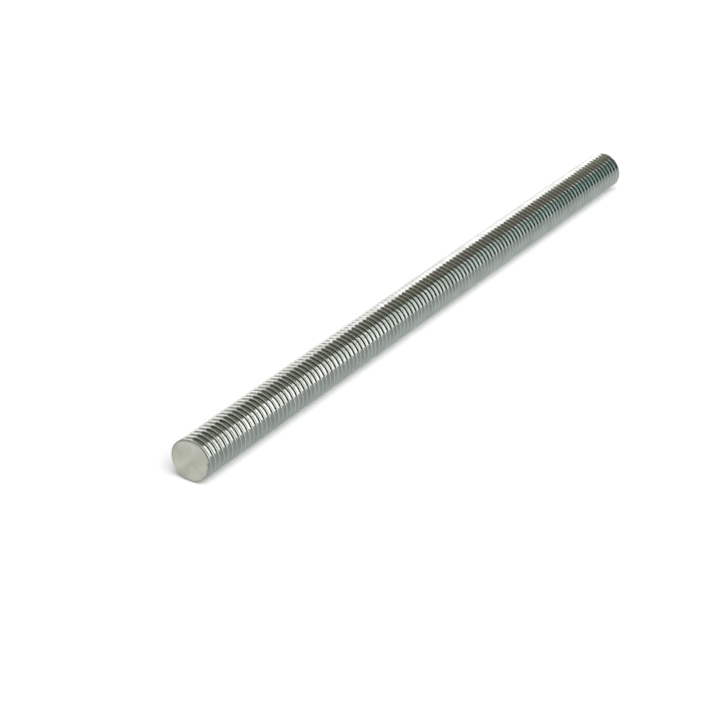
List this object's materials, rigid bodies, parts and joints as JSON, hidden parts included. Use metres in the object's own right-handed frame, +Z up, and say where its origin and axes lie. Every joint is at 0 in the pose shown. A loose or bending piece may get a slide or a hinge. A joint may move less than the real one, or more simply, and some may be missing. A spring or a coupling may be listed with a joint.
{
  "type": "threaded rod",
  "caption": "Straight round steel rod with a metric screw thread along its whole length and both ends cut square.",
  "frame": {"origin": "centre of the near cut end, on the rod's axis", "axes": "+X along the rod towards the far end, +Z up with the rod lying level"},
  "size_m": [0.15, 0.008, 0.008],
  "materials": {
    "zinc_plated_steel": "bright zinc plate over rolled thread"
  },
  "bodies": {
    "root": {"threaded_rod": "zinc_plated_steel"}
  },
  "joints": []
}
